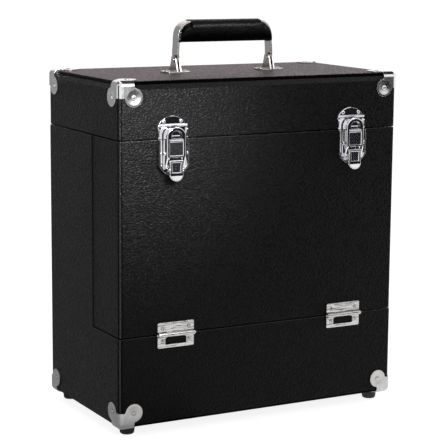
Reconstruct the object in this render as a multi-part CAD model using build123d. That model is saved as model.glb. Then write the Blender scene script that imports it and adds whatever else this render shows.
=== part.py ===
from build123d import *

import os

# Record carrying case: a boarded box with a lift-up lid, a fold-down front, two draw
# latches, a swinging padded handle, eight metal corners and four rubber feet.
# Millimetres. +Z is up, the front looks along -Y and +X is to the right of someone who
# faces the front. The origin is under the middle of everything, on the surface it stands on.

# ---- Case ----
case_width = 350.0
case_depth = 191.0
case_height = 377.0
lid_seam_height = 314.5  # above the underside of the boards
front_seam_height = 100.5
cheek_depth = 70.0  # how far the fold-down front wraps round each side
board = 9.0
edge_radius = 5.0
rim_radius = 0.8  # the covering's turn-in along every seam
seam_gap = 0.8
side_step = 0.6  # the body stands this much proud of the lid at each side
lining = 1.0
lining_drop = 3.0  # the lining stops this far short of each rim

# ---- Feet ----
foot_height = 9.0
foot_top_radius = 8.8
foot_flat_radius = 5.2
foot_tuck = 2.6  # rounding of the foot's lower edge
foot_well_radius = 3.4
foot_well_depth = 5.0
foot_screw_radius = 2.8
foot_screw_head = 1.6

# ---- Metal corners ----
corner_sheet = 1.1
corner_clearance = 0.1
ear_offset = 17.0  # ear centre from both neighbouring edges
ear_radius = 10.2
corner_square = 17.6
notch_radius = 1.6
ear_dish_radius = 8.0
ear_dish_depth = 0.45
ear_dish_floor = 3.4
rivet_shank_radius = 1.5
rivet_hole_clearance = 0.1
rivet_head_radius = 2.7
rivet_head_height = 1.3
dome_steps = ((1, 0), (1, 0.3), (0.82, 0.75), (0.45, 1))  # radius and height of a head, as shares
pin_chamfer = 0.4

# ---- Butt hinges ----
hinge_inset = 67.0  # middle of each hinge from the side of the lid
hinge_width = 44.0
hinge_sheet = 1.2
hinge_upper_height = 13.5  # from the pin's axis to the leaf's far edge
hinge_lower_height = 14.8
knuckle_radius = 2.6
knuckle_middle = 22.0  # length of the middle knuckle
knuckle_gap = 0.2
hinge_pin_radius = 1.3
pin_clearance = 0.08
pin_overhang = 1.8
leaf_relief = 0.4
window_width = 25.8
window_top = 3.6  # from the pin's axis
window_bottom = 11.2
window_corner = 1.2
leaf_corner = 1.5
hinge_screw_x = 15.9
hinge_screw_drop = 7.2
bead_width = 1.3
bead_height = 0.5
bead_inset = 2.6
bead_end = 1.0  # from a bead's end to the screw's head
hinge_screw_radius = 2.4
hinge_screw_head = 1.3
screw_slot = 0.7  # width of the cross recess in each screw
screw_slot_length = 2.8
screw_slot_depth = 0.7

# ---- Draw latches (u is the distance in front of the case, z is from the lid seam) ----
latch_inset = 62.0  # middle of each latch from the side of the lid
latch_half_width = 17.5
latch_sheet = 1.2
keeper_height = 25.0
plate_arch_radius = 19.0
base_drop = 39.0
rim_sheet = 1.2
keeper_rim_height = 3.4
keeper_rim_top = 12.0
keeper_rim_round = 2.4
plate_bevel = 0.6  # along the arched edge of each latch plate
base_rim_height = 6.4
bead_z = 14.6
bead_radius = 1.5
keeper_rivet_x = 10.2
keeper_rivet_z = 19.2
base_rivet_x = 13.7
base_rivet_z = -15.7
base_low_rivet_z = -34.0
small_rivet_radius = 2.1
small_rivet_height = 1.1

pivot_u = 7.4
pivot_z = -15.2
draw_u = 4.8
draw_z = -28.5
eye_radius = 2.6
lever_pin_radius = 1.5
lever_pin_head_radius = 2.4
lever_pin_head = 0.4

ear_inner_x = 5.6
ear_sheet = 1.2
base_ear_height = 13.0  # where the ear joins the plate
cheek_gap = 0.4
cheek_sheet = 1.2
tab_sheet = 1.4
web_height = 9.0  # where the cheeks join the tab
tab_front_u = 12.0
tab_top_z = -21.8
tab_end_z = -44.5
tab_end_rise = 6.7  # height of the tab's round end
tab_waist = 1.0  # how much narrower the tab's waist is at each side
tab_flare = 2.6  # how far the tab's end curls out
tab_flare_length = 9.0
tab_recess = 0.6
tab_recess_margin = 2.2
tab_round = 0.9  # rounding of its outer edge

loop_sheet = 1.4
loop_half_width = 11.3
loop_front_u = 12.0
loop_back_u = 3.2
loop_bottom_z = -18.6
loop_spring_z = 3.6  # where the straight sides turn into the arch
loop_top_z = 14.0
loop_window_half = 6.0
loop_window_low = 1.6
loop_window_high = 10.0
loop_window_rise = 4.8  # height of the window's arch
loop_bar_height = 3.6
loop_round = 1.3  # rounding of its outer edge
loop_recess = 0.7
loop_recess_margin = 2.9
loop_groove = 1.1  # side of the V groove between the window and the panel
recess_bevel = 0.5
loop_eye_radius = 3.0
loop_corner = 0.8
stub_gap = 0.2
stub_head = 0.5
stub_shoulder_radius = 2.2

hook_half_width = 4.8
hook_sheet = 1.5
hook_z = 2.7
hook_lip_z = 9.2
hook_clearance = 0.45  # between the lip and the loop's cross piece in front of it
hook_bend = 1.6

# ---- Handle ----
handle_x = 60.5  # middle of each leg at its pivot
leg_lean = 2.2  # how far each leg leans in at the top
knee_rise = 2.0  # how far above the bracket the lean starts
knee_radius = 14.0
strap_width = 14.0
strap_sheet = 2.0
handle_pivot_height = 14.0  # above the lid
handle_height = 58.0  # top of the strap above the lid
handle_bend_radius = 16.0
bracket_length = 30.0
bracket_width = 21.0
bracket_sheet = 1.5
bracket_corner = 3.0
bracket_ear_sheet = 1.6
bracket_ear_gap = 0.3
bracket_ear_radius = 5.6
bracket_ear_foot = 19.0
bracket_rivet_x = 11.2
handle_pin_radius = 2.0
handle_pin_head_radius = 3.4
handle_pin_head = 1.0
grip_height = 25.6
grip_width = 24.0
grip_over_strap = 1.2  # padding above the strap
grip_cover_reach = 2.5  # how far the covering over the strap runs on round its bend
grip_cover_radius = 1.0
grip_shoulder = 1.6  # how far the grip stands up beside the strap at its two ends
grip_plan_radius = 5.0  # rounding of the ends, seen from above
grip_low_radius = 3.5
grip_top_round = 7.5
grip_bottom_round = 9.0
grip_slot_clearance = 0.1

# ---- Worked out from the sizes above ----
hinge_stand = knuckle_radius + 0.1  # the pin's axis in front of the face
hinge_reach = hinge_stand + knuckle_radius
latch_reach = tab_front_u + tab_flare
case_y = (latch_reach - hinge_reach) / 2  # puts the origin under the middle in Y
front_y = case_y - case_depth / 2
back_y = case_y + case_depth / 2
under_z = foot_height + corner_sheet + corner_clearance  # the feet stand under the corners
top_z = under_z + case_height
lid_seam_z = under_z + lid_seam_height
front_seam_z = under_z + front_seam_height
lid_low_z = lid_seam_z + seam_gap / 2
rim_z = lid_seam_z - seam_gap / 2  # top of the body's rear part and of the front
low_rim_z = front_seam_z - seam_gap / 2
door_low_z = front_seam_z + seam_gap / 2
cheek_y = front_y + cheek_depth
half_lid = case_width / 2
half_body = half_lid + side_step
hinge_x = half_lid - hinge_inset
latch_x = half_lid - latch_inset
hook_lip_u = loop_front_u - loop_sheet - hook_clearance
cheek_inner_x = ear_inner_x + ear_sheet + cheek_gap
cheek_outer_x = cheek_inner_x + cheek_sheet
loop_inner_x = loop_half_width - loop_sheet
knee_z = handle_pivot_height + bracket_ear_radius + knee_rise


def span(low, high):
    """A box between two opposite corners."""
    size = [b - a for a, b in zip(low, high)]
    return Pos(*low) * Box(*size, align=(Align.MIN, Align.MIN, Align.MIN))


def joined(shapes):
    """All the shapes as one solid."""
    whole = shapes[0]
    for shape in shapes[1:]:
        whole = whole + shape
    return whole


def plate(outline, thickness, at=0.0):
    """An outline drawn in local (x, z), as a plate whose back is at distance `at` in front."""
    return extrude(Plane.XZ.offset(at) * outline, thickness)


def cheek(outline, low_x, high_x):
    """An outline drawn in local (u, z), as a cheek that spans low_x to high_x."""
    side = Plane(origin=(low_x, 0, 0), x_dir=(0, -1, 0), z_dir=(-1, 0, 0))
    return extrude(side * outline, -(high_x - low_x))


def both_sides(make, *sizes):
    """The same piece at +x and -x."""
    right = make(*sizes)
    return [right, mirror(right, about=Plane.YZ)]


def crosswise(radius, low_x, high_x, u, z):
    """A round bar along X between two x values, at (u, z)."""
    return Pos((low_x + high_x) / 2, -u, z) * Rot(0, 90, 0) * Cylinder(radius, high_x - low_x)


def upright(form, *sizes):
    """A cylinder or cone that stands on z = 0."""
    return form(*sizes, align=(Align.CENTER, Align.CENTER, Align.MIN))


def dome(radius, height):
    """A domed rivet or screw head that stands on z = 0, turned in three steps."""
    steps = [(radius * out, height * up) for out, up in dome_steps]
    profile = Polyline((0, 0), *steps, (0, height), (0, 0))
    return revolve(Plane.XZ * make_face(profile.edges()), Axis.Z)


def cross_recess(height):
    """The cross for the screwdriver in a head of this height."""
    slot = Box(screw_slot_length, screw_slot, 2 * screw_slot_depth)
    return Pos(0, 0, height) * (slot + Rot(0, 0, 90) * slot)


def facing_front(shape, x, u, z):
    """Stands a shape that was made on z = 0 on a face that looks along -Y, in local axes."""
    return Pos(x, -u, z) * Rot(90, 0, 0) * shape


# ---- Boards ----


def edges_along(shape, axis, test):
    """The straight edges along one axis whose middle passes the test."""
    return [e for e in shape.edges().filter_by(axis) if test(e.center())]


def near(a, b):
    return abs(a - b) < 1e-4


def lid_shell():
    shell = span((-half_lid, front_y, lid_low_z), (half_lid, back_y, top_z))
    shell = fillet(shell.edges().filter_by(Axis.Z), edge_radius)
    shell = fillet(shell.faces().sort_by(Axis.Z)[-1].edges(), edge_radius)
    shell = fillet(shell.faces().sort_by(Axis.Z)[0].edges(), rim_radius)
    low = (-half_lid + board, front_y + board, lid_low_z - board)
    return shell - span(low, (half_lid - board, back_y - board, top_z - board))


def lid_boards():
    shell = lid_shell()
    across = half_lid + board
    inner = half_lid - board
    under = top_z - board
    over = top_z + board
    front, back = front_y + board, back_y - board
    low = lid_low_z - board
    return {
        "lid_top_board": shell & span((-across, front_y - board, under), (across, back_y + board, over)),
        "lid_front_board": shell & span((-across, front_y - board, low), (across, front, under)),
        "lid_back_board": shell & span((-across, back, low), (across, back_y + board, under)),
        "lid_left_board": shell & span((-across, front, low), (-inner, back, under)),
        "lid_right_board": shell & span((inner, front, low), (across, back, under)),
    }


def body_shell():
    profile = Polygon(
        (front_y, under_z),
        (back_y, under_z),
        (back_y, rim_z),
        (cheek_y, rim_z),
        (cheek_y, low_rim_z),
        (front_y, low_rim_z),
        align=None,
    )
    shell = extrude(Plane.YZ * profile, half_body, both=True)
    corners = edges_along(shell, Axis.Z, lambda c: not near(c.Y, cheek_y))
    shell = fillet(corners, edge_radius)
    shell = fillet(shell.faces().sort_by(Axis.Z)[0].edges(), edge_radius)
    rims = [e for e in shell.edges() if near(e.center().Z, rim_z)]
    rims += [e for e in shell.edges() if near(e.center().Z, low_rim_z) and not near(e.center().Y, cheek_y)]
    rims += edges_along(shell, Axis.Z, lambda c: near(c.Y, cheek_y))
    shell = fillet(rims, rim_radius)
    low = (-half_body + board, front_y + board, under_z + board)
    return shell - span(low, (half_body - board, back_y - board, rim_z + board))


def body_boards():
    shell = body_shell()
    across = half_body + board
    inner = half_body - board
    floor = under_z + board
    front, back = front_y + board, back_y - board
    high = rim_z + board
    return {
        "bottom_board": shell & span((-across, front_y - board, 0), (across, back_y + board, floor)),
        "low_front_board": shell & span((-across, front_y - board, floor), (across, front, high)),
        "back_board": shell & span((-across, back, floor), (across, back_y + board, high)),
        "left_side_board": shell & span((-across, front, floor), (-inner, back, high)),
        "right_side_board": shell & span((inner, front, floor), (across, back, high)),
    }


def door_shell():
    rear = cheek_y - seam_gap
    shell = span((-half_lid, front_y, door_low_z), (half_lid, rear, rim_z))
    shell = fillet(edges_along(shell, Axis.Z, lambda c: near(c.Y, front_y)), edge_radius)
    rims = list(shell.faces().sort_by(Axis.Z)[0].edges())
    rims += list(shell.faces().sort_by(Axis.Z)[-1].edges())
    rims += edges_along(shell, Axis.Z, lambda c: near(c.Y, rear))
    shell = fillet(rims, rim_radius)
    low = (-half_lid + board, front_y + board, door_low_z - board)
    return shell - span(low, (half_lid - board, rear + board, rim_z + board))


def door_boards():
    shell = door_shell()
    across = half_lid + board
    front = front_y + board
    rear = cheek_y + board
    low, high = door_low_z - board, rim_z + board
    return {
        "front_panel": shell & span((-across, front_y - board, low), (across, front, high)),
        "front_left_cheek": shell & span((-across, front, low), (0, rear, high)),
        "front_right_cheek": shell & span((0, front, low), (across, rear, high)),
    }


# ---- Linings ----


def body_lining():
    half = half_body - board
    front, back = front_y + board, back_y - board
    floor = under_z + board
    low_part = span((-half, front, floor), (half, back, low_rim_z - lining_drop))
    rear_part = span((-half, cheek_y + lining_drop, floor), (half, back, rim_z - lining_drop))
    inside = span(
        (-half + lining, front + lining, floor + lining),
        (half - lining, back - lining, rim_z),
    )
    return low_part + rear_part - inside


def lid_lining():
    half = half_lid - board
    front, back = front_y + board, back_y - board
    whole = span((-half, front, lid_low_z + lining_drop), (half, back, top_z - board))
    inside = span(
        (-half + lining, front + lining, lid_low_z),
        (half - lining, back - lining, top_z - board - lining),
    )
    return whole - inside


def front_lining():
    half = half_lid - board
    front = front_y + board
    rear = cheek_y - seam_gap - lining_drop
    whole = span((-half, front, door_low_z + lining_drop), (half, rear, rim_z - lining_drop))
    inside = span((-half + lining, front + lining, door_low_z), (half - lining, cheek_y, rim_z))
    return whole - inside


# ---- Metal corners ----


def corner_block(outset):
    """The case's rounded corner, standing off by outset, with the case towards +x +y +z."""
    reach = ear_offset + 2 * ear_radius
    block = span((-outset,) * 3, (reach,) * 3)
    meeting = [e for e in block.edges() if sorted(e.center())[1] < -outset + 1e-4]
    return fillet(meeting, edge_radius + outset)


def corner_face():
    """One face of the corner: a square at the corner that runs into a round ear."""
    outer = corner_clearance + corner_sheet
    square = Pos(-outer, -outer) * Rectangle(
        corner_square + outer, corner_square + outer, align=(Align.MIN, Align.MIN)
    )
    face = square + Pos(ear_offset, ear_offset) * Circle(ear_radius)
    reach = corner_square + notch_radius
    notches = [v for v in face.vertices() if 0 < v.X < reach and 0 < v.Y < reach]
    face = fillet(notches, notch_radius)
    return face - Pos(ear_offset, ear_offset) * Circle(rivet_shank_radius + rivet_hole_clearance)


def ear_dish():
    """The shallow dish pressed into an ear, round its rivet."""
    dish = upright(Cone, ear_dish_radius, ear_dish_floor, ear_dish_depth)
    return Pos(ear_offset, ear_offset, -corner_clearance - corner_sheet) * dish


def corner_cap():
    """A three-eared corner for the corner of the case that lies at -x -y -z."""
    outer = corner_clearance + corner_sheet
    shell = corner_block(outer) - corner_block(corner_clearance)
    face = Pos(0, 0, -outer) * extrude(corner_face(), edge_radius + outer + corner_clearance)
    face = face - ear_dish()
    diagonal = Axis((0, 0, 0), (1, 1, 1))
    kept = face + face.rotate(diagonal, 120) + face.rotate(diagonal, 240)
    return shell & kept


def corner_rivets():
    """Rivets in the three faces of a corner at -x -y -z. The first one is in the bottom face."""
    seat = corner_sheet + corner_clearance - ear_dish_depth
    rivet = upright(Cylinder, rivet_shank_radius, seat)
    rivet = rivet + Rot(180, 0, 0) * dome(rivet_head_radius, rivet_head_height)
    rivet = Pos(ear_offset, ear_offset, -seat) * rivet
    diagonal = Axis((0, 0, 0), (1, 1, 1))
    return [rivet, rivet.rotate(diagonal, 120), rivet.rotate(diagonal, 240)]


def at_corner(shape, x, y, z):
    """Mirrors a shape made for the corner at -x -y -z onto another corner of the case."""
    if x > 0:
        shape = mirror(shape, about=Plane.YZ)
    if y > case_y:
        shape = mirror(shape, about=Plane.XZ)
    if z > lid_seam_z:
        shape = mirror(shape, about=Plane.XY)
    return Pos(x, y, z) * shape


def corners():
    """All eight corners by name, and the rivets of the body's and of the lid's corners."""
    pieces = {}
    rivets = {"body_corner_rivets": [], "lid_corner_rivets": []}
    for level, z, half, group in (
        ("bottom", under_z, half_body, "body_corner_rivets"),
        ("top", top_z, half_lid, "lid_corner_rivets"),
    ):
        for depth, y in (("front", front_y), ("back", back_y)):
            for hand, x in (("left", -half), ("right", half)):
                pieces[f"{level}_{depth}_{hand}_corner"] = at_corner(corner_cap(), x, y, z)
                kept = corner_rivets() if level == "top" else corner_rivets()[1:]
                rivets[group] += [at_corner(r, x, y, z) for r in kept]
    for group, solids in rivets.items():
        pieces[group] = Compound(solids)
    return pieces


# ---- Feet ----


def foot_centres():
    """Each foot stands under the ear of a bottom corner and is held by the screw through it."""
    for x in (-half_body + ear_offset, half_body - ear_offset):
        for y in (front_y + ear_offset, back_y - ear_offset):
            yield x, y


def foot():
    """A tapered rubber foot with a screw well in its flat underside."""
    body = upright(Cone, foot_flat_radius + foot_tuck, foot_top_radius, foot_height)
    body = fillet(body.edges().sort_by(Axis.Z)[0], foot_tuck)
    hole = upright(Cylinder, rivet_shank_radius + rivet_hole_clearance, foot_height)
    return body - upright(Cylinder, foot_well_radius, foot_well_depth) - hole


def foot_screw():
    """The screw that holds a foot: its head in the well and its shank up to the board."""
    head = dome(foot_screw_radius, foot_screw_head) - cross_recess(foot_screw_head)
    head = Rot(180, 0, 0) * head
    shank = upright(Cylinder, rivet_shank_radius, under_z - foot_well_depth)
    return Pos(0, 0, foot_well_depth) * (head + shank)


# ---- Butt hinges, in local axes with the pin along X and the case behind ----


def knuckle(low_x, high_x):
    return crosswise(knuckle_radius, low_x, high_x, 0, 0)


def leaf_blank(low_z, high_z):
    """The flat of a leaf, lying on the case."""
    half = hinge_width / 2
    flat = span((-half, hinge_stand - hinge_sheet, low_z), (half, hinge_stand, high_z))
    outer = [e for e in flat.edges().filter_by(Axis.Y) if not near(e.center().Z, 0)]
    return fillet(outer, leaf_corner)


def screw_holes(z):
    hole = Rot(90, 0, 0) * Cylinder(rivet_shank_radius, 4 * hinge_sheet)
    return [Pos(x, hinge_stand, z) * hole for x in (-hinge_screw_x, hinge_screw_x)]


def bead(z):
    """A pressed rib between the two screws of a leaf."""
    length = 2 * (hinge_screw_x - hinge_screw_radius - bead_end)
    return Pos(0, 0, z) * plate(SlotOverall(length, bead_width), bead_height, hinge_sheet - hinge_stand)


def hinge_bore():
    return crosswise(hinge_pin_radius + pin_clearance, -hinge_width, hinge_width, 0, 0)


def upper_leaf():
    """The leaf above the pin, with the middle knuckle."""
    half = hinge_width / 2
    inner = knuckle_middle / 2 - knuckle_gap / 2
    leaf = leaf_blank(0, hinge_upper_height)
    relief = knuckle_radius + leaf_relief
    leaf = leaf - both_sides(span, (inner, -hinge_width, -relief), (2 * half, hinge_width, relief))
    leaf = leaf + knuckle(-inner, inner)
    leaf = leaf + bead(hinge_upper_height - bead_inset) + bead(knuckle_radius + bead_inset)
    return joined([leaf]) - hinge_bore() - screw_holes(hinge_screw_drop)


def lower_leaf():
    """The leaf below the pin: the two outer knuckles and an open window between the screws."""
    half = hinge_width / 2
    outer = knuckle_middle / 2 + knuckle_gap / 2
    relief = knuckle_radius + leaf_relief
    leaf = leaf_blank(-hinge_lower_height, 0)
    leaf = leaf - span((-outer, -hinge_width, -relief), (outer, hinge_width, 1))
    window = span(
        (-window_width / 2, -hinge_width, -window_bottom),
        (window_width / 2, hinge_width, -window_top),
    )
    middle = span((-outer, -hinge_width, -window_bottom), (outer, hinge_width, 1))
    leaf = leaf - fillet(window.edges().filter_by(Axis.Y), window_corner) - middle
    leaf = leaf + knuckle(-half, -outer) + knuckle(outer, half)
    return leaf - hinge_bore() - screw_holes(-hinge_screw_drop)


def hinge_pin():
    length = hinge_width + 2 * pin_overhang
    pin = crosswise(hinge_pin_radius, -length / 2, length / 2, 0, 0)
    return chamfer(pin.edges().filter_by(GeomType.CIRCLE), pin_chamfer)


def leaf_screws(z):
    """Two dome-headed screws that hold a leaf, up to the face of the board."""
    shank = Rot(180, 0, 0) * upright(Cylinder, rivet_shank_radius - rivet_hole_clearance, hinge_sheet)
    screw = shank + dome(hinge_screw_radius, hinge_screw_head) - cross_recess(hinge_screw_head)
    return [facing_front(screw, x, hinge_sheet - hinge_stand, z) for x in (-hinge_screw_x, hinge_screw_x)]


def front_hinge(shape, x):
    return Pos(x, front_y - hinge_stand, front_seam_z) * shape


def back_hinge(shape, x):
    return Pos(x, back_y + hinge_stand, lid_seam_z) * Rot(0, 0, 180) * shape


def hinges():
    pieces = {}
    pins = {"front_hinge_pins": [], "lid_hinge_pins": []}
    screws = {"body_hinge_screws": [], "front_hinge_screws": [], "lid_hinge_screws": []}
    for kind, place, moving in (
        ("front_hinge", front_hinge, "front_hinge_screws"),
        ("lid_hinge", back_hinge, "lid_hinge_screws"),
    ):
        for hand, x in (("left", -hinge_x), ("right", hinge_x)):
            pieces[f"{kind}_{hand}_upper_leaf"] = place(upper_leaf(), x)
            pieces[f"{kind}_{hand}_lower_leaf"] = place(lower_leaf(), x)
            pins[f"{kind}_pins"].append(place(hinge_pin(), x))
            screws[moving] += [place(s, x) for s in leaf_screws(hinge_screw_drop)]
            screws["body_hinge_screws"] += [place(s, x) for s in leaf_screws(-hinge_screw_drop)]
    for name, solids in (pins | screws).items():
        pieces[name] = Compound(solids)
    return pieces


# ---- Draw latches, in local axes: x across, u = -y in front of the case, z from the seam ----


def arched_outline(low_z, high_z, inset=0.0):
    """A plate that is straight at low_z and has a shallow arch for its far edge."""
    half = latch_half_width - inset
    radius = plate_arch_radius - inset
    rise = radius - (radius**2 - half**2) ** 0.5
    inward = -1 if high_z > low_z else 1
    high_z = high_z + inward * inset
    shoulder = high_z + inward * rise
    edge = Polyline((-half, shoulder), (-half, low_z), (half, low_z), (half, shoulder))
    arch = ThreePointArc((half, shoulder), (0, high_z), (-half, shoulder))
    return make_face([*edge.edges(), *arch.edges()])


def arched_plate(low_z, high_z):
    """The flat of a latch plate, bevelled along its arched edge."""
    blank = plate(arched_outline(low_z, high_z), latch_sheet)
    arch = [e for e in blank.edges().filter_by(GeomType.CIRCLE) if near(e.center().Y, -latch_sheet)]
    return chamfer(arch, plate_bevel)


def keeper_rim():
    """An upturned rim at one side of the keeper, with round ends."""
    height = keeper_rim_height
    low = (latch_half_width - rim_sheet, -height, seam_gap / 2)
    rim = span(low, (latch_half_width, 0, keeper_rim_top))
    ends = [e for e in rim.edges().filter_by(Axis.X) if near(e.center().Y, -height)]
    return fillet(ends, keeper_rim_round)


def base_rim():
    """The upturned rim of the base plate: down one side, round the arch and up the other."""
    low, high = -seam_gap / 2, -base_drop
    return plate(arched_outline(low, high) - arched_outline(low + rim_sheet, high, rim_sheet), base_rim_height)


def keeper_hook():
    """The J-shaped tongue that the loop draws on: out from the plate, then up."""
    path = FilletPolyline(
        (latch_sheet / 2, hook_z + hook_sheet / 2),
        (hook_lip_u - hook_sheet / 2, hook_z + hook_sheet / 2),
        (hook_lip_u - hook_sheet / 2, hook_lip_z),
        radius=hook_bend,
    )
    return cheek(trace(path, hook_sheet), -hook_half_width, hook_half_width)


def keeper():
    piece = joined([arched_plate(seam_gap / 2, keeper_height), *both_sides(keeper_rim)])
    rib = crosswise(bead_radius, -latch_half_width, latch_half_width, latch_sheet, bead_z)
    behind = span((-latch_half_width, 0, 0), (latch_half_width, keeper_height, keeper_height))
    piece = piece + (rib - behind) + keeper_hook() - behind
    holes = [
        facing_front(Cylinder(rivet_shank_radius, 4 * latch_sheet), x, 0, keeper_rivet_z)
        for x in (-keeper_rivet_x, keeper_rivet_x)
    ]
    return piece - holes


def base_ear():
    """A bracket that carries one end of the lever's pin."""
    foot_line = Pos(latch_sheet / 2, pivot_z) * Rectangle(latch_sheet, base_ear_height)
    eye = Pos(pivot_u, pivot_z) * Circle(eye_radius)
    outline = make_hull(foot_line.edges() + eye.edges())
    return cheek(outline, ear_inner_x, ear_inner_x + ear_sheet)


def base_plate():
    piece = joined([arched_plate(-seam_gap / 2, -base_drop), base_rim(), *both_sides(base_ear)])
    holes = [
        facing_front(Cylinder(rivet_shank_radius, 4 * latch_sheet), x, 0, z) for x, z in base_rivet_places()
    ]
    return piece - crosswise(lever_pin_radius, -cheek_outer_x, cheek_outer_x, pivot_u, pivot_z) - holes


def base_rivet_places():
    return ((-base_rivet_x, base_rivet_z), (base_rivet_x, base_rivet_z), (0, base_low_rivet_z))


def latch_rivet(x, z):
    shank = Rot(180, 0, 0) * upright(Cylinder, rivet_shank_radius - rivet_hole_clearance, latch_sheet)
    return facing_front(shank + dome(small_rivet_radius, small_rivet_height), x, latch_sheet, z)


def lever_pin():
    """The pin through the base's ears and the lever's cheeks, with a flat head at each end."""
    end = cheek_outer_x + pin_clearance
    pin = crosswise(lever_pin_radius - pin_clearance, -end, end, pivot_u, pivot_z)
    heads = both_sides(crosswise, lever_pin_head_radius, end, end + lever_pin_head, pivot_u, pivot_z)
    return joined([pin, *heads])


def lever_cheek():
    """One side of the lever: a web that ties the pin's eye, the loop's eye and the tab."""
    pivot_eye = Pos(pivot_u, pivot_z) * Circle(eye_radius)
    draw_eye = Pos(draw_u, draw_z) * Circle(eye_radius)
    tab_back_u = tab_front_u - tab_round - tab_sheet / 2
    tab_line = Pos(tab_back_u, tab_top_z - web_height / 2) * Rectangle(tab_sheet, web_height)
    arm = cheek(make_hull(pivot_eye.edges() + draw_eye.edges()), cheek_inner_x, cheek_outer_x)
    web = cheek(make_hull(draw_eye.edges() + tab_line.edges()), cheek_inner_x, cheek_outer_x) + arm
    shoulder_end = loop_inner_x - stub_gap
    shoulder = crosswise(stub_shoulder_radius, cheek_outer_x, shoulder_end, draw_u, draw_z)
    stub_end = loop_half_width + stub_gap
    stub = crosswise(lever_pin_radius, cheek_outer_x, stub_end + stub_head, draw_u, draw_z)
    head = crosswise(lever_pin_head_radius, stub_end, stub_end + stub_head, draw_u, draw_z)
    return joined([web, shoulder, stub, head])


def tab_outline(margin=0.0):
    """The thumb tab seen from the front: a narrow waist and a round end."""
    half = cheek_outer_x - margin
    low = tab_end_z + margin
    waist = half - tab_waist
    turn = tab_end_z + tab_end_rise
    middle = (tab_top_z + turn) / 2
    right = Spline((half, tab_top_z - margin), (waist, middle), (half, turn))
    arch = ThreePointArc((half, turn), (0, low), (-half, turn))
    left = mirror(right, about=Plane.YZ)
    top = Line((-half, tab_top_z - margin), (half, tab_top_z - margin))
    return make_face([*right.edges(), *arch.edges(), *left.edges(), *top.edges()])


def tab_section():
    """The tab from the side: flat, then curling out at its end."""
    start = tab_end_z + tab_flare_length
    middle_u = tab_front_u - tab_sheet / 2
    curl = TangentArc((middle_u, start), (middle_u + tab_flare, tab_end_z - tab_sheet), tangent=(0, -1))
    return trace(Line((middle_u, tab_top_z), (middle_u, start)) + curl, tab_sheet)


def tab_rim(tab):
    """The edges round the front surface of the tab, which curls about a line in front of it."""
    start = tab_end_z + tab_flare_length
    drop = tab_flare_length + tab_sheet
    radius = (drop**2 + tab_flare**2) / (2 * tab_flare)
    found = []
    for edge in tab.edges():
        middle = edge.center()
        below = min(middle.Z - start, 0)
        ahead = tab_front_u - tab_sheet / 2 + radius + middle.Y
        in_front = radius - (ahead**2 + below**2) ** 0.5
        if in_front > tab_sheet / 4 and not near(middle.Z, start):
            found.append(edge)
    return found


def lever():
    width = 2 * cheek_outer_x
    strip = cheek(tab_section(), -width, width)
    reach = tab_front_u + 2 * tab_flare + tab_sheet
    tab = strip & plate(tab_outline(), reach)
    tab = fillet(tab_rim(tab), tab_round)
    start = tab_end_z + tab_flare_length
    panel = plate(tab_outline(tab_recess_margin), reach, tab_front_u - tab_recess)
    panel = panel & span((-width, -reach, start), (width, 0, 0))
    panel = chamfer(panel.faces().sort_by(Axis.Y)[-1].edges(), recess_bevel)
    bore = crosswise(lever_pin_radius, -latch_half_width, latch_half_width, pivot_u, pivot_z)
    return joined([tab, *both_sides(lever_cheek)]) - bore - panel


def loop_outline(inset=0.0, low=loop_bottom_z):
    """The loop from the front: straight sides under a round arch."""
    half = loop_half_width - inset
    high = loop_top_z - inset
    edge = Polyline((-half, loop_spring_z), (-half, low), (half, low), (half, loop_spring_z))
    arch = EllipticalCenterArc((0, loop_spring_z), half, high - loop_spring_z, arc_size=180)
    return make_face([*edge.edges(), *arch.edges()])


def loop_window():
    """The arched window that shows the keeper's hook."""
    half = loop_window_half
    spring = loop_window_high - loop_window_rise
    edge = Polyline((-half, spring), (-half, loop_window_low), (half, loop_window_low), (half, spring))
    arch = ThreePointArc((half, spring), (0, loop_window_high), (-half, spring))
    return make_face([*edge.edges(), *arch.edges()])


def loop_leg():
    """One side of the loop: its flange, tapering down to the eye on the lever's stub."""
    eye = Pos(draw_u, draw_z) * Circle(loop_eye_radius)
    high = (loop_bottom_z + loop_spring_z) / 2
    middle_u = (loop_back_u + loop_front_u) / 2
    side = Pos(middle_u, high) * Rectangle(loop_front_u - loop_back_u, loop_spring_z - loop_bottom_z)
    outline = make_hull(eye.edges() + side.edges())
    leg = cheek(outline, loop_inner_x, loop_half_width)
    return leg - crosswise(lever_pin_radius + pin_clearance, 0, 2 * loop_half_width, draw_u, draw_z)


def loop_blank():
    """The block that the loop is rounded to: its front edge is rounded at the sides and the arch."""
    low = draw_z - loop_eye_radius
    block = plate(loop_outline(low=low), loop_front_u)
    front = block.faces().sort_by(Axis.Y)[0]
    return fillet([e for e in front.edges() if not near(e.center().Z, low)], loop_round)


def loop_panel():
    """What the recessed panel in the loop's face takes away."""
    half = loop_half_width - loop_recess_margin
    low = loop_bottom_z + loop_recess_margin / 2
    high = loop_window_low - loop_bar_height
    panel = span((-half, -loop_front_u - loop_recess, low), (half, loop_recess - loop_front_u, high))
    panel = fillet(panel.edges().filter_by(Axis.Y), loop_corner)
    return chamfer(panel.faces().sort_by(Axis.Y)[-1].edges(), recess_bevel)


def loop_slot():
    """The V groove across the bar between the loop's window and its panel."""
    half = loop_half_width - loop_recess_margin
    groove = Rot(45, 0, 0) * Box(2 * half, loop_groove, loop_groove)
    return Pos(0, -loop_front_u, loop_window_low - loop_bar_height / 2) * groove


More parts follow.
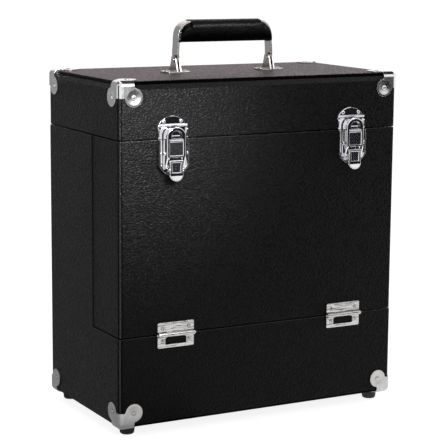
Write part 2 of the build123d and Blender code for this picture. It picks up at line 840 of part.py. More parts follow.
def loop():
    """The draw loop: an arched channel with a window for the hook and a recessed panel."""
    depth = loop_front_u - loop_back_u
    face = plate(loop_outline() - loop_window(), loop_sheet, loop_front_u - loop_sheet)
    ring = plate(loop_outline() - loop_outline(loop_sheet, loop_bottom_z + loop_sheet), depth, loop_back_u)
    arch_zone = span((-loop_half_width, -loop_front_u, loop_spring_z), (loop_half_width, 0, loop_top_z))
    hook_way = span(
        (-loop_window_half, loop_sheet - loop_front_u, loop_window_low),
        (loop_window_half, 0, 2 * loop_top_z),
    )
    body = joined([face, (ring & arch_zone) - hook_way, *both_sides(loop_leg)])
    return (body & loop_blank()) - loop_panel() - loop_slot()


def at_latch(shape, x):
    return Pos(x, front_y, lid_seam_z) * shape


def latches():
    pieces = {}
    groups = {"keeper_rivets": [], "latch_base_rivets": [], "latch_lever_pins": []}
    for hand, x in (("left", -latch_x), ("right", latch_x)):
        pieces[f"{hand}_keeper"] = at_latch(keeper(), x)
        pieces[f"{hand}_latch_base"] = at_latch(base_plate(), x)
        pieces[f"{hand}_latch_lever"] = at_latch(lever(), x)
        pieces[f"{hand}_latch_loop"] = at_latch(loop(), x)
        groups["latch_lever_pins"].append(at_latch(lever_pin(), x))
        for rivet_x in (-keeper_rivet_x, keeper_rivet_x):
            groups["keeper_rivets"].append(at_latch(latch_rivet(rivet_x, keeper_rivet_z), x))
        for rivet_x, rivet_z in base_rivet_places():
            groups["latch_base_rivets"].append(at_latch(latch_rivet(rivet_x, rivet_z), x))
    for name, solids in groups.items():
        pieces[name] = Compound(solids)
    return pieces


# ---- Handle, in local axes: z from the lid's top, y from the middle of the case ----


def bracket_ear():
    """One trapezoid ear of a bracket, beside the handle's leg."""
    foot_line = Pos(0, bracket_sheet / 2) * Rectangle(bracket_ear_foot, bracket_sheet)
    eye = Pos(0, handle_pivot_height) * Circle(bracket_ear_radius)
    low_x = strap_sheet / 2 + bracket_ear_gap
    return cheek(make_hull(foot_line.edges() + eye.edges()), low_x, low_x + bracket_ear_sheet)


def handle_bracket():
    base = extrude(RectangleRounded(bracket_length, bracket_width, bracket_corner), bracket_sheet)
    bore = crosswise(handle_pin_radius, -bracket_length, bracket_length, 0, handle_pivot_height)
    holes = [
        Pos(x, 0, 0) * Cylinder(rivet_shank_radius, 4 * bracket_sheet)
        for x in (-bracket_rivet_x, bracket_rivet_x)
    ]
    return joined([base, *both_sides(bracket_ear)]) - bore - holes


def handle_pin():
    end = strap_sheet / 2 + bracket_ear_gap + bracket_ear_sheet
    pin = crosswise(handle_pin_radius - pin_clearance, -end, end, 0, handle_pivot_height)
    head = crosswise(handle_pin_head_radius, end, end + handle_pin_head, 0, handle_pivot_height)
    head = chamfer(head.faces().sort_by(Axis.X)[-1].edges(), pin_chamfer)
    return joined([pin, head, mirror(head, about=Plane.YZ)])


def bracket_rivet(x):
    shank = Rot(180, 0, 0) * upright(Cylinder, rivet_shank_radius - rivet_hole_clearance, bracket_sheet)
    return Pos(x, 0, bracket_sheet) * (shank + dome(rivet_head_radius, rivet_head_height))


def strap_path():
    """The middle of the strap, seen from the front: up one leg, over the top and down."""
    low_z = handle_pivot_height
    high_z = handle_height - strap_sheet / 2
    upper_x = handle_x - leg_lean
    right = [(handle_x, low_z), (handle_x, knee_z), (upper_x, high_z)]
    left = [(-x, z) for x, z in reversed(right)]
    radii = [knee_radius, handle_bend_radius, handle_bend_radius, knee_radius]
    return FilletPolyline(*right, *left, radius=radii)


def strap(width, sheet):
    return Pos(0, width / 2, 0) * plate(trace(strap_path(), sheet), width)


def handle_bail():
    """A flat strap bent over at the top, with a round eye at the foot of each leg."""
    bail = strap(strap_width, strap_sheet)
    eye = Pos(0, handle_pivot_height) * Circle(strap_width / 2)
    for x in (-handle_x, handle_x):
        bail = bail + cheek(eye, x - strap_sheet / 2, x + strap_sheet / 2)
    return bail - crosswise(handle_pin_radius, -2 * handle_x, 2 * handle_x, 0, handle_pivot_height)


def leg_inner_x(z):
    """How far the inner face of a leg is from the middle at height z."""
    lean = leg_lean * (z - knee_z) / (handle_height - strap_sheet / 2 - knee_z)
    return handle_x - lean - strap_sheet / 2 - grip_slot_clearance


def grip_outline():
    """The grip from the front: its ends follow the bail's corners and its top covers the strap."""
    high = handle_height + grip_over_strap
    low = high - grip_height
    under = handle_height - strap_sheet - grip_slot_clearance
    wide, narrow = leg_inner_x(low) + grip_shoulder, leg_inner_x(under) + grip_shoulder
    end_top = under + grip_shoulder
    core = Polygon((-wide, low), (wide, low), (narrow, end_top), (-narrow, end_top), align=None)
    bend = handle_bend_radius - strap_sheet / 2 - grip_slot_clearance + grip_shoulder
    core = fillet([v for v in core.vertices() if near(v.Y, end_top)], bend)
    core = fillet([v for v in core.vertices() if near(v.Y, low)], grip_low_radius)
    cover_half = handle_x - leg_lean - handle_bend_radius + grip_cover_reach
    cover = Pos(0, (under + high) / 2 - bend / 2) * Rectangle(2 * cover_half, high - under + bend)
    cover = fillet([v for v in cover.vertices() if near(v.Y, high)], grip_cover_radius)
    return core + cover


def grip_section():
    """The grip from the side: a padded roll, flatter below."""
    middle = handle_height + grip_over_strap - grip_height / 2
    section = Pos(0, middle) * Rectangle(grip_width, grip_height)
    section = fillet([v for v in section.vertices() if v.Y > middle], grip_top_round)
    return fillet([v for v in section.vertices() if v.Y < middle - grip_height / 4], grip_bottom_round)


def handle_grip():
    """The padded grip, with a slot for the strap that it is wrapped round."""
    pad = cheek(grip_section(), -handle_x, handle_x)
    pad = pad & (Pos(0, grip_width / 2, 0) * plate(grip_outline(), grip_width))
    half = leg_inner_x(handle_height + grip_over_strap - grip_height) + grip_shoulder
    pad = pad & extrude(RectangleRounded(2 * half, grip_width, grip_plan_radius), 2 * handle_height)
    slot = strap(strap_width + 2 * grip_slot_clearance, strap_sheet + 2 * grip_slot_clearance)
    return pad - slot


def on_lid(shape, x=0.0):
    return Pos(x, case_y, top_z) * shape


def handle_parts():
    pieces = {
        "handle_bail": on_lid(handle_bail()),
        "handle_grip": on_lid(handle_grip()),
    }
    groups = {"handle_pins": [], "handle_bracket_rivets": []}
    for hand, x in (("left", -handle_x), ("right", handle_x)):
        pieces[f"handle_{hand}_bracket"] = on_lid(handle_bracket(), x)
        groups["handle_pins"].append(on_lid(handle_pin(), x))
        for rivet_x in (-bracket_rivet_x, bracket_rivet_x):
            groups["handle_bracket_rivets"].append(on_lid(bracket_rivet(rivet_x), x))
    for name, solids in groups.items():
        pieces[name] = Compound(solids)
    return pieces


def build():
    pieces = {}
    pieces |= body_boards() | door_boards() | lid_boards()
    pieces |= {"body_lining": body_lining(), "lid_lining": lid_lining(), "front_lining": front_lining()}
    pieces |= corners() | hinges() | latches() | handle_parts()
    pieces["feet"] = Compound([Pos(x, y, 0) * foot() for x, y in foot_centres()])
    pieces["foot_screws"] = Compound([Pos(x, y, 0) * foot_screw() for x, y in foot_centres()])
    return pieces


os.makedirs("parts", exist_ok=True)
for node, shape in build().items():
    export_step(shape, f"parts/{node}.step")
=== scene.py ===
from math import cos, pi, sin

import bmesh
import bpy
from mathutils import Matrix, Vector


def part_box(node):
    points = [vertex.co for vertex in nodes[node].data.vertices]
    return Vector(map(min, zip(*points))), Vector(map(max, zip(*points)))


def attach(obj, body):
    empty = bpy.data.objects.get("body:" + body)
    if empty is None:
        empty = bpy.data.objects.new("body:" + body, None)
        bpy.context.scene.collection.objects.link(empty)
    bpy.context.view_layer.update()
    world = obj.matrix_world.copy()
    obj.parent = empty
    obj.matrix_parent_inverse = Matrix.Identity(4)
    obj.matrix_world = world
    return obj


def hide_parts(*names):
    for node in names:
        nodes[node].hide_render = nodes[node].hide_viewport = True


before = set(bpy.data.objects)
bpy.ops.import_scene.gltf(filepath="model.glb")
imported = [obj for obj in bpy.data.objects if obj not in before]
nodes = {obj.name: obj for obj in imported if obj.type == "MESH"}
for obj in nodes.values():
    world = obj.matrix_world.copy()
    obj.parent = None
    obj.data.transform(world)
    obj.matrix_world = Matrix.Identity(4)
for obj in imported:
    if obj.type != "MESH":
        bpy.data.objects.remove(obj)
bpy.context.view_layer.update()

MM = 0.001

# ---- Shader helpers ----


class Shader:
    """Builds one material's node tree from short calls."""

    def __init__(self, name):
        self.material = bpy.data.materials.new(name)
        self.material.use_nodes = True
        self.tree = self.material.node_tree
        self.tree.nodes.clear()
        out = self.tree.nodes.new("ShaderNodeOutputMaterial")
        self.surface = self.tree.nodes.new("ShaderNodeBsdfPrincipled")
        self.tree.links.new(self.surface.outputs[0], out.inputs["Surface"])

    def put(self, socket, value):
        """A number or colour on a socket, or a link into it."""
        if isinstance(value, bpy.types.NodeSocket):
            self.tree.links.new(value, socket)
        elif value is not None:
            socket.default_value = value

    def set(self, **values):
        """Values of the surface's own sockets."""
        for key, value in values.items():
            self.put(self.surface.inputs[key.replace("_", " ")], value)

    def node(self, kind, output=0, settings=None, **inputs):
        """A new node's output, with its settings and the values of its sockets."""
        made = self.tree.nodes.new("ShaderNode" + kind)
        for key, value in (settings or {}).items():
            setattr(made, key, value)
        for key, value in inputs.items():
            self.put(made.inputs[key.replace("_", " ")], value)
        return made.outputs[output]

    def place(self):
        return self.node("TexCoord", "Object")

    def facing(self):
        """The surface's direction in the object's own axes."""
        return self.parts(self.node("TexCoord", "Normal"))

    def parts(self, vector):
        """The x, y and z of a vector."""
        return self.node("SeparateXYZ", Vector=vector).node.outputs

    def operate(self, kind, how, values):
        made = self.tree.nodes.new(kind)
        made.operation = how
        for socket, value in zip(made.inputs, values):
            self.put(socket, value)
        return made

    def math(self, how, *values):
        return self.operate("ShaderNodeMath", how, values).outputs[0]

    def vector(self, how, *values):
        return self.operate("ShaderNodeVectorMath", how, values).outputs[0]

    def add(self, a, b):
        return self.math("ADD", a, b)

    def times(self, a, b):
        return self.math("MULTIPLY", a, b)

    def above(self, a, limit):
        return self.math("GREATER_THAN", a, limit)

    def below(self, a, limit):
        return self.math("LESS_THAN", a, limit)

    def ramp(self, value, *stops):
        """A colour ramp whose stops are (position, grey or colour)."""
        made = self.tree.nodes.new("ShaderNodeValToRGB")
        self.put(made.inputs[0], value)
        band = made.color_ramp
        while len(band.elements) < len(stops):
            band.elements.new(0.5)
        for element, (position, colour) in zip(band.elements, stops):
            element.position = position
            if not isinstance(colour, tuple):
                colour = (colour, colour, colour)
            element.color = (*colour, 1)
        return made.outputs[0]

    def noise(self, scale, detail=2.0, roughness=0.5, at=None, distortion=0.0):
        return self.node(
            "TexNoise",
            "Fac",
            Vector=at or self.place(),
            Scale=scale,
            Detail=detail,
            Roughness=roughness,
            Distortion=distortion,
        )

    def bump(self, height, distance, strength=1.0, normal=None):
        return self.node("Bump", Height=height, Distance=distance, Strength=strength, Normal=normal)

    def edge_share(self, sides):
        """0 on the flat faces of a box and 1 along the middle of its rounded edges."""
        sizes = [self.math("ABSOLUTE", part) for part in sides]
        largest = self.math("MAXIMUM", self.math("MAXIMUM", sizes[0], sizes[1]), sizes[2])
        share = self.math("DIVIDE", self.math("SUBTRACT", 1.0, largest), EDGE_MIDDLE)
        share.node.use_clamp = True
        return share


# ---- Materials ----

# How many cells or waves of each pattern go to a metre
GRAIN = 620.0
GRAIN_WARP = 260.0
PORES = 2100.0
SLOW_WAVE = 70.0
FOLDS = 85.0
CLOUDS = 90.0
SCRATCHES = 1700.0
STREAKS = 450.0
MOTTLE = 420.0

CELL_STRETCH = (0.55, 0.55, 1.0)  # the grain's cells are longer than they are high
CELL_DRIFT = 2.2 * MM  # how far the grain is pulled about
FOLD_STRETCH = (0.45, 1.0, 1.0)  # the padding's folds run along the grip
STREAK_STRETCH = (0.10, 0.10, 1.0)  # drawn sheet's streaks are level
SCRATCH_DEPTH = 0.004 * MM
SHEET_ROUNDING = 0.3 * MM  # of the sheet metal's edges
PAINTED_SHADE_REACH = 1.2 * MM  # how far out of a corner its painted shade reaches
EDGE_MIDDLE = 0.29  # what a direction midway between two faces lacks of either


def edge_gloss(shader, gloss, rubbed):
    """Gloss of a covered board: its own on the flat, dull beside the edges and shiny where they
    are rubbed, along their middle and on what faces up. Edges that face down aren't rubbed."""
    sides = shader.facing()
    upright = sides[2]
    share = shader.edge_share(sides)
    middle = shader.ramp(share, (0.4, 0.0), (0.6, 1.0))
    upper = shader.times(shader.above(upright, 0.25), shader.above(share, 0.1))
    shine = shader.times(shader.math("MAXIMUM", middle, upper), rubbed)
    shine = shader.times(shine, shader.above(upright, -0.25))
    return shader.add(shader.ramp(share, (0.04, gloss), (0.2, 0.005)), shine)


def leatherette(name, dark, colour, rough, pebble, gloss, rubbed=0.0, folds=0.0):
    """Black covering: small cells, creases between them and a slow wave. On padding it has soft
    folds, and on boards it is rubbed along the edges."""
    shader = Shader(name)
    place = shader.place()
    warp = shader.node("TexNoise", "Color", Vector=place, Scale=GRAIN_WARP, Detail=1.0)
    drift = shader.vector("MULTIPLY", warp, (CELL_DRIFT, CELL_DRIFT, CELL_DRIFT))
    cells = shader.node(
        "TexVoronoi",
        "Distance",
        settings={"feature": "SMOOTH_F1"},
        Vector=shader.vector("MULTIPLY_ADD", place, CELL_STRETCH, drift),
        Scale=GRAIN,
        Smoothness=0.6,
    )
    crease = shader.ramp(cells, (0.12, 1.0), (0.62, 0.0))
    fine = shader.noise(PORES, 2.0, 0.6, place)
    half_wave = shader.times(shader.noise(SLOW_WAVE, 2.0, 0.5, place), 0.5)
    height = shader.add(crease, shader.times(fine, 0.35))
    height = shader.times(height, shader.add(half_wave, 0.75))
    normal = shader.bump(height, pebble)
    if folds:
        stretched = shader.vector("MULTIPLY", place, FOLD_STRETCH)
        soft = shader.noise(FOLDS, 2.0, 0.5, stretched, 0.6)
        normal = shader.bump(soft, folds, 1.0, normal)
    else:
        gloss = edge_gloss(shader, gloss, rubbed)
    worn = shader.add(crease, half_wave)
    shader.set(
        Base_Color=shader.ramp(crease, (0.0, dark), (1.0, colour)),
        Roughness=shader.ramp(worn, (0.2, rough + 0.14), (1.0, rough)),
        Specular_IOR_Level=gloss,
        Specular_Tint=(1.0, 0.96, 0.98, 1),
        Normal=normal,
    )
    return shader.material


def satin_panel(shader, place, panel):
    """What a sunk front face, between two places in Y, adds to the roughness."""
    depth = shader.parts(place)[1]
    inside = shader.times(shader.above(depth, panel[0]), shader.below(depth, panel[1]))
    forward = shader.below(shader.facing()[1], -0.9)
    mottle = shader.ramp(shader.noise(MOTTLE, 2.0, 0.6, place), (0.3, 0.06), (0.7, 0.10))
    return shader.times(shader.times(inside, forward), mottle)


def metal(name, colour, rough, wear, cloud=0.02, brushed=0.0, streaks=0.0, panel=None):
    """Plated steel: slight clouding, fine scratches, painted shade in the crevices and rounded
    sheet edges. Drawn sheet has streaks. A panel is the span in Y of a sunk face left satin."""
    shader = Shader(name)
    place = shader.place()
    cloudy = shader.noise(CLOUDS, 3.0, 0.6, place)
    scratches = shader.noise(SCRATCHES, 2.0, 0.7, place)
    rough_map = shader.add(shader.times(cloudy, wear), rough - wear / 2)
    if panel:
        rough_map = shader.add(rough_map, satin_panel(shader, place, panel))
    relief = scratches
    if streaks:
        along = shader.vector("MULTIPLY", place, STREAK_STRETCH)
        lines = shader.noise(STREAKS, 2.0, 0.6, along)
        relief = shader.add(scratches, shader.times(lines, streaks))
    rounded = shader.node("Bevel", settings={"samples": 6}, Radius=SHEET_ROUNDING)
    # Painted shade: the base colour is darkened where ambient occlusion finds crevices and joints.
    open_share = shader.node("AmbientOcclusion", "AO", settings={"samples": 6}, Distance=PAINTED_SHADE_REACH)
    painted_crevice_shade = shader.ramp(open_share, (0.15, 0.12), (0.7, 1.0))
    clouded = tuple(c * (1 - cloud * 3) for c in colour)
    clean = shader.ramp(cloudy, (0.3, clouded), (0.7, colour))
    shader.set(
        Base_Color=shader.vector("MULTIPLY", clean, painted_crevice_shade),
        Metallic=1.0,
        Roughness=shader.add(rough_map, shader.times(scratches, wear * 0.4)),
        Normal=shader.bump(relief, SCRATCH_DEPTH + brushed, 0.5, rounded),
    )
    return shader.material


def plain(name, dark, colour, rough, grain, depth):
    """A dull moulded or woven surface in slow patches, with a fine grain."""
    shader = Shader(name)
    place = shader.place()
    speckle = shader.noise(grain, 4.0, 0.6, place)
    patch = shader.noise(grain / 14, 2.0, 0.5, place)
    shader.set(
        Base_Color=shader.ramp(patch, (0.3, dark), (0.7, colour)),
        Roughness=shader.add(shader.times(patch, 0.12), rough),
        Normal=shader.bump(speckle, depth, 0.7),
    )
    return shader.material


BOARD_BLACKS = ((0.0022, 0.0021, 0.0022), (0.0046, 0.0044, 0.0045))
GRIP_BLACKS = ((0.0012, 0.0012, 0.0012), (0.0022, 0.0022, 0.0023))
LINING_BLACKS = ((0.012, 0.012, 0.012), (0.020, 0.019, 0.019))
RUBBER_BLACKS = ((0.008, 0.008, 0.008), (0.014, 0.014, 0.014))
CHROME_WHITE = (0.84, 0.84, 0.86)
loop_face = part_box("left_latch_loop")[0].y
LATCH_PANEL = (loop_face + 0.35 * MM, loop_face + 0.9 * MM)

FRONT = leatherette("black_leatherette", *BOARD_BLACKS, 0.26, 0.55 * MM, 0.090, rubbed=0.5)
TOP = leatherette("top_leatherette", *BOARD_BLACKS, 0.32, 1.6 * MM, 0.27)
GRIP = leatherette("grip_leatherette", *GRIP_BLACKS, 0.24, 0.08 * MM, 0.08, folds=0.8 * MM)
LINING = plain("black_lining", *LINING_BLACKS, 0.85, 900.0, 0.15 * MM)
RUBBER = plain("foot_rubber", *RUBBER_BLACKS, 0.55, 700.0, 0.08 * MM)
CHROME = metal("polished_chrome", CHROME_WHITE, 0.06, 0.04)
SHEET = metal("latch_sheet", CHROME_WHITE, 0.06, 0.04, panel=LATCH_PANEL)
NICKEL = metal("satin_nickel", (0.60, 0.59, 0.58), 0.32, 0.12, 0.06, 0.02 * MM)
HINGE = metal("hinge_nickel", (0.58, 0.57, 0.56), 0.07, 0.06, 0.05, 0.04 * MM, streaks=18.0)
# A lighter copy of the low corners' nickel for the top corners and the lid's rivets: the extra
# lightness is painted light, where the light falls on the top.
PAINTED_LIT_NICKEL = metal("nickel_painted_lit", (0.80, 0.80, 0.79), 0.17, 0.08)
STEEL = metal("handle_steel", (0.70, 0.67, 0.64), 0.18, 0.08)


def finish_of(name):
    """The material of a CAD node, from its name."""
    if name == "feet":
        return RUBBER
    if name == "lid_top_board":
        return TOP
    if name.endswith("lining"):
        return LINING
    if name.endswith("_corner"):
        # The top corners take the nickel copy painted lighter, the low ones the plain nickel.
        return PAINTED_LIT_NICKEL if name.startswith("top") else NICKEL
    if name == "lid_corner_rivets":
        return PAINTED_LIT_NICKEL
    if "hinge" in name:
        return HINGE
    if name in ("body_corner_rivets", "foot_screws"):
        return NICKEL
    if name.startswith("handle"):
        return STEEL
    if name.endswith(("lever", "loop")):
        return SHEET
    if "latch" in name or "keeper" in name:
        return CHROME
    return FRONT


for name, part in nodes.items():
    part.data.materials.clear()
    part.data.materials.append(finish_of(name))

# ---- The padded grip ----


def mesh_object(name, build, material, smooth=True):
    """An object whose mesh is filled in by build(bm)."""
    mesh = bpy.data.meshes.new(name)
    bm = bmesh.new()
    build(bm)
    bmesh.ops.recalc_face_normals(bm, faces=bm.faces)
    bm.to_mesh(mesh)
    bm.free()
    if smooth:
        mesh.polygons.foreach_set("use_smooth", [True] * len(mesh.polygons))
    mesh.materials.append(material)
    thing = bpy.data.objects.new(name, mesh)
    bpy.context.scene.collection.objects.link(thing)
    return thing


def skin(bm, rings):
    """Joins rings of points, each closed, into one tube with closed ends."""
    made = [[bm.verts.new(p) for p in ring] for ring in rings]
    for a, b in zip(made, made[1:]):
        for i in range(len(a)):
            j = (i + 1) % len(a)
            bm.faces.new((a[i], a[j], b[j], b[i]))
    bm.faces.new(list(reversed(made[0])))
    bm.faces.new(made[-1])


grip_low, grip_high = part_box("handle_grip")
grip_mid = (grip_low + grip_high) / 2
GRIP_INSET = 0.1 * MM  # the covering stays this far inside the solid's box
GRIP_HALF = (grip_high.x - grip_low.x) / 2 - GRIP_INSET
GRIP_WIDE = (grip_high.y - grip_low.y) / 2 - 0.15 * MM
GRIP_TOP = grip_high.z - GRIP_INSET
GRIP_BOTTOM = grip_low.z + GRIP_INSET
STRAP_COVER = 3.3 * MM  # from the grip's top to the underside of the strap in it
STRAP_BEND = 14.9 * MM  # inner radius of the strap's bends
STRAP_HALF = 7.1 * MM  # half the width of the groove that the strap lies in
SHOULDER = 1.5 * MM  # how far the grip stands up beside the strap
SHOULDER_BEND = STRAP_BEND + SHOULDER
BEND_START = 42.4 * MM
BEND_MIDDLE = grip_high.z - STRAP_COVER - STRAP_BEND  # height of the bends' centres
COVER_END = 44.7 * MM  # where the covering over the strap stops
LEG_LEAN = 0.066  # how much the legs spread for each metre down
END_FALL = 7  # how steeply the top falls beyond the bend
GRIP_FOOT = 3.5 * MM  # rounding of the ends' lower edges
GRIP_PLAN = 4.2 * MM  # rounding of the end faces, seen from above
UPPER_ROUND = 2.8  # exponents of the section: above 2 is squarer than an ellipse
LOWER_ROUND = 0.78  # on sine and cosine, where below 1 is squarer
HIGH_STEPS = 24
LOW_STEPS = 25


def round_off(inside, radius):
    """How much a rounded edge takes away at a distance inside the end it rounds."""
    away = min(1.0, max(0.0, 1 - inside / radius))
    return radius * (1 - (1 - away * away) ** 0.5)


def in_groove(point):
    """Moves a point of the grip's end, where the strap runs, onto the strap's inner face."""
    reach = abs(point.x)
    beside = abs(point.y - grip_mid.y) > STRAP_HALF + 0.05 * MM
    if reach <= COVER_END + 0.01 * MM or beside:
        return point
    rise = point.z - BEND_MIDDLE
    if rise <= 0:
        reach = min(reach, BEND_START + STRAP_BEND - LEG_LEAN * rise)
    else:
        far = (rise**2 + (reach - BEND_START) ** 2) ** 0.5
        scale = min(1.0, STRAP_BEND / far)
        reach = BEND_START + (reach - BEND_START) * scale
        point.z = BEND_MIDDLE + rise * scale
    point.x = reach if point.x > 0 else -reach
    return point


def grip_ring(x):
    """One section of the grip: a padded roll that is flatter below and drawn in at its ends."""
    reach = abs(x)
    top = GRIP_TOP
    if reach > COVER_END:
        top = grip_high.z - STRAP_COVER + SHOULDER
        top -= round_off(BEND_START + SHOULDER_BEND - reach, SHOULDER_BEND)
        top -= END_FALL * max(0.0, reach - BEND_START - SHOULDER_BEND)
    low = GRIP_BOTTOM + round_off(GRIP_HALF - reach, GRIP_FOOT)
    wide = GRIP_WIDE - round_off(GRIP_HALF - reach, GRIP_PLAN)
    middle, half = (top + low) / 2, (top - low) / 2
    across = [wide * cos(pi * i / HIGH_STEPS) for i in range(HIGH_STEPS + 1)]
    across += [side * (STRAP_HALF + gap) for side in (-1, 1) for gap in (0.0, 0.25 * MM)]
    points = []
    for y in sorted(across, reverse=True):
        z = middle + half * max(0.0, 1 - abs(y / wide) ** UPPER_ROUND) ** (1 / UPPER_ROUND)
        points.append(in_groove(Vector((x, grip_mid.y + y, z))))
    for i in range(1, LOW_STEPS):
        turn = pi + pi * i / LOW_STEPS
        y = wide * abs(cos(turn)) ** LOWER_ROUND * (1 if cos(turn) >= 0 else -1)
        z = middle - half * abs(sin(turn)) ** LOWER_ROUND
        points.append(in_groove(Vector((x, grip_mid.y + y, z))))
    return points


def grip_stops():
    """Where the grip's sections lie, close together at the step and round the bends."""
    stops = [0.0, 20 * MM, 34 * MM, 42 * MM, 44.2 * MM, COVER_END, COVER_END + 0.3 * MM]
    stops += [BEND_START + SHOULDER_BEND * sin(i * pi / 24) for i in range(3, 12)]
    stops += [GRIP_HALF - 1.0 * MM, GRIP_HALF - 0.5 * MM, GRIP_HALF - 0.15 * MM, GRIP_HALF]
    stops = sorted(stops)
    return [-x for x in reversed(stops[1:])] + stops


grip = mesh_object("grip_cover", lambda bm: skin(bm, [grip_ring(x) for x in grip_stops()]), GRIP)
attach(grip, "handle")
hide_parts("handle_grip")

# ---- Floor and world ----

FILL = 0.87  # what the floor shows to the eye beyond the light that falls on it
WORLD_LIGHT = 0.30  # the world's even light on the object


def seen_directly(tree):
    """1 for a ray from the camera or one that a metal or glass sends on, 0 for light."""
    path = tree.nodes.new("ShaderNodeLightPath")
    total = path.outputs["Is Camera Ray"]
    for kind in ("Is Glossy Ray", "Is Transmission Ray"):
        add = tree.nodes.new("ShaderNodeMath")
        add.operation = "MAXIMUM"
        tree.links.new(total, add.inputs[0])
        tree.links.new(path.outputs[kind], add.inputs[1])
        total = add.outputs[0]
    return total


def floor_material():
    """Pale paper with a faint tooth. It keeps the object's shadow."""
    shader = Shader("floor_white")
    shader.set(
        Base_Color=(0.6, 0.6, 0.6, 1),
        Roughness=0.9,
        Specular_IOR_Level=0.0,
        Normal=shader.bump(shader.noise(9.0), 0.2 * MM, 0.2),
        Emission_Color=(1, 1, 1, 1),
        Emission_Strength=shader.times(seen_directly(shader.tree), FILL),
    )
    return shader.material


def flat_sheet(name, cells, half_size, material):
    """A flat square that is part of the studio, not of the object."""

    def build(bm):
        bmesh.ops.create_grid(bm, x_segments=cells, y_segments=cells, size=half_size)

    thing = mesh_object(name, build, material, smooth=False)
    return thing


def studio_world():
    """White to the eye and in reflections, and a plain even light on the object."""
    world = bpy.data.worlds.new("studio")
    bpy.context.scene.world = world
    world.use_nodes = True
    tree = world.node_tree
    tree.nodes.clear()
    mix = tree.nodes.new("ShaderNodeMixShader")
    tree.links.new(seen_directly(tree), mix.inputs[0])
    for socket, level in ((1, WORLD_LIGHT), (2, 1.0)):
        sky = tree.nodes.new("ShaderNodeBackground")
        sky.inputs[0].default_value = (1, 1, 1, 1)
        sky.inputs[1].default_value = level
        tree.links.new(sky.outputs[0], mix.inputs[socket])
    out = tree.nodes.new("ShaderNodeOutputWorld")
    tree.links.new(mix.outputs[0], out.inputs[0])


flat_sheet("floor", 2, 40.0, floor_material())
studio_world()

# ---- Lamps ----


def set_down(thing, place, aim):
    """Puts a lamp or card at a place, turned towards its aim."""
    thing.location = place
    thing.rotation_mode = "QUATERNION"
    thing.rotation_quaternion = (Vector(aim) - Vector(place)).to_track_quat("-Z", "Y")


def lamp(name, kind, place, aim, power, **settings):
    data = bpy.data.lights.new(name, kind)
    data.energy = power
    for key, value in settings.items():
        setattr(data, key, value)
    thing = bpy.data.objects.new(name, data)
    set_down(thing, place, aim)
    bpy.context.scene.collection.objects.link(thing)
    return thing


def spot(name, place, aim, power, angle, radius, things, blend=1.0):
    """A spot lamp that lights only the given pieces."""
    light = lamp(
        name,
        "SPOT",
        place,
        aim,
        power,
        spot_size=angle,
        spot_blend=blend,
        shadow_soft_size=radius,
    )
    chosen = bpy.data.collections.new("lit_by_" + name)
    for thing in things:
        chosen.objects.link(thing)
    light.light_linking.receiver_collection = chosen


def softbox(name, place, aim, size, power):
    lamp(name, "AREA", place, aim, power, shape="RECTANGLE", size=size[0], size_y=size[1])


def made_of(*materials):
    return [part for part in nodes.values() if part.data.materials[0] in materials]


KEY_PLACE = (-0.10, -0.50, 0.49)
FRONT_PLACE = (0.5, -0.85, 0.95)
SPOT_EDGE = 0.15  # a new spot's own blend

# No spot falls on the top board, which would mirror it to an eye behind the case.
spot("key", KEY_PLACE, (-0.14, -0.09, 0.355), 31, 0.8, 0.06, made_of(FRONT))
fittings = made_of(LINING, RUBBER, CHROME, SHEET, NICKEL, HINGE, PAINTED_LIT_NICKEL, STEEL)
spot("sparkle", KEY_PLACE, (-0.13, -0.09, 0.35), 23, 0.8, 0.06, fittings)
softbox("top", (0.1, 0.5, 2.0), (0, 0, 0.3), (1.6, 1.2), 11)
spot("grip_light", FRONT_PLACE, (0, 0, 0.48), 24, 0.5, 0.10, [grip], SPOT_EDGE)
softbox("front", FRONT_PLACE, (0, 0, 0.3), (0.3, 0.2), 1)

# ---- Cards ----


def card(name, place, aim, size, tone):
    """A studio card that only shows in reflections."""
    shader = Shader(name + "_paper")
    shader.set(
        Base_Color=(0, 0, 0, 1),
        Roughness=1.0,
        Specular_IOR_Level=0.0,
        Emission_Color=(*tone, 1),
        Emission_Strength=1.0,
    )
    thing = flat_sheet(name, 1, 0.5, shader.material)
    thing.scale = (*size, 1)
    set_down(thing, place, aim)
    for kind in ("camera", "diffuse", "transmission", "shadow"):
        setattr(thing, "visible_" + kind, False)


BLACK = (0.01, 0.01, 0.01)

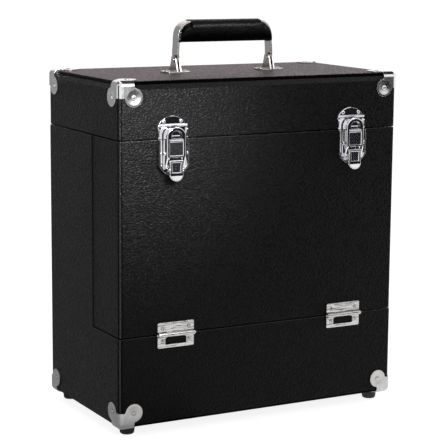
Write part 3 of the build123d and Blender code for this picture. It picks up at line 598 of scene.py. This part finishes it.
# The front card stands behind the strip of floor that the hinges and the low corners mirror.
card("front_card", (0.35, -0.80, 0.19), (0.35, 0, 0.19), (1.3, 0.38), (0.012, 0.012, 0.016))
card("ceiling", (0, 2.4, 2.6), (0, 2.4, 0), (7.0, 5.2), BLACK)
card("back_card", (1.0, 1.9, 0.85), (0, 0, 0.5), (3.0, 1.7), (1.18, 1.05, 1.09))
card("left_flag", (-0.115, -0.07, 0.50), (-0.115, -0.07, 0), (0.10, 0.25), BLACK)
card("right_flag", (0.265, -0.07, 0.50), (0.265, -0.07, 0), (0.10, 0.25), BLACK)
card("edge_card", (-1.12, -0.24, 0.30), (-0.16, -0.09, 0.36), (0.55, 0.9), BLACK)
card("left_floor_card", (-0.72, 0.95, 0.002), (-0.72, 0.95, 1), (1.3, 2.2), (0.36, 0.36, 0.37))
card("left_card", (-1.3, 1.9, 0.9), (0, 0, 0.9), (2.6, 1.8), (0.34, 0.34, 0.35))

# ---- Camera ----

SENSOR_WIDTH = 36.0
LENS = 129.416
YAW, PITCH, ROLL = 0.4985, -0.1706, 0.0081  # radians, from a level look straight at the front
CASE_MIDDLE = 4.65 * MM  # of the case, in Y
CASE_UNDERSIDE = 10.2 * MM
# The camera was fitted to the case's own box, from its middle and its underside.
CAMERA_PLACE = Vector((-0.880197, -1.622005 + CASE_MIDDLE, 0.517239 + CASE_UNDERSIDE))

camera_data = bpy.data.cameras.new("camera")
camera_data.sensor_width = SENSOR_WIDTH
camera_data.lens = LENS
camera = bpy.data.objects.new("camera", camera_data)
bpy.context.scene.collection.objects.link(camera)
bpy.context.scene.camera = camera
forward = Vector((sin(YAW) * cos(PITCH), cos(YAW) * cos(PITCH), sin(PITCH)))
side = Vector((cos(YAW), -sin(YAW), 0.0))
upward = side.cross(forward)
right = cos(ROLL) * side + sin(ROLL) * upward
up = -sin(ROLL) * side + cos(ROLL) * upward
turned = Matrix((right, up, -forward)).transposed().to_4x4()
camera.matrix_world = Matrix.Translation(CAMERA_PLACE) @ turned

bpy.context.scene.view_settings.view_transform = "Standard"
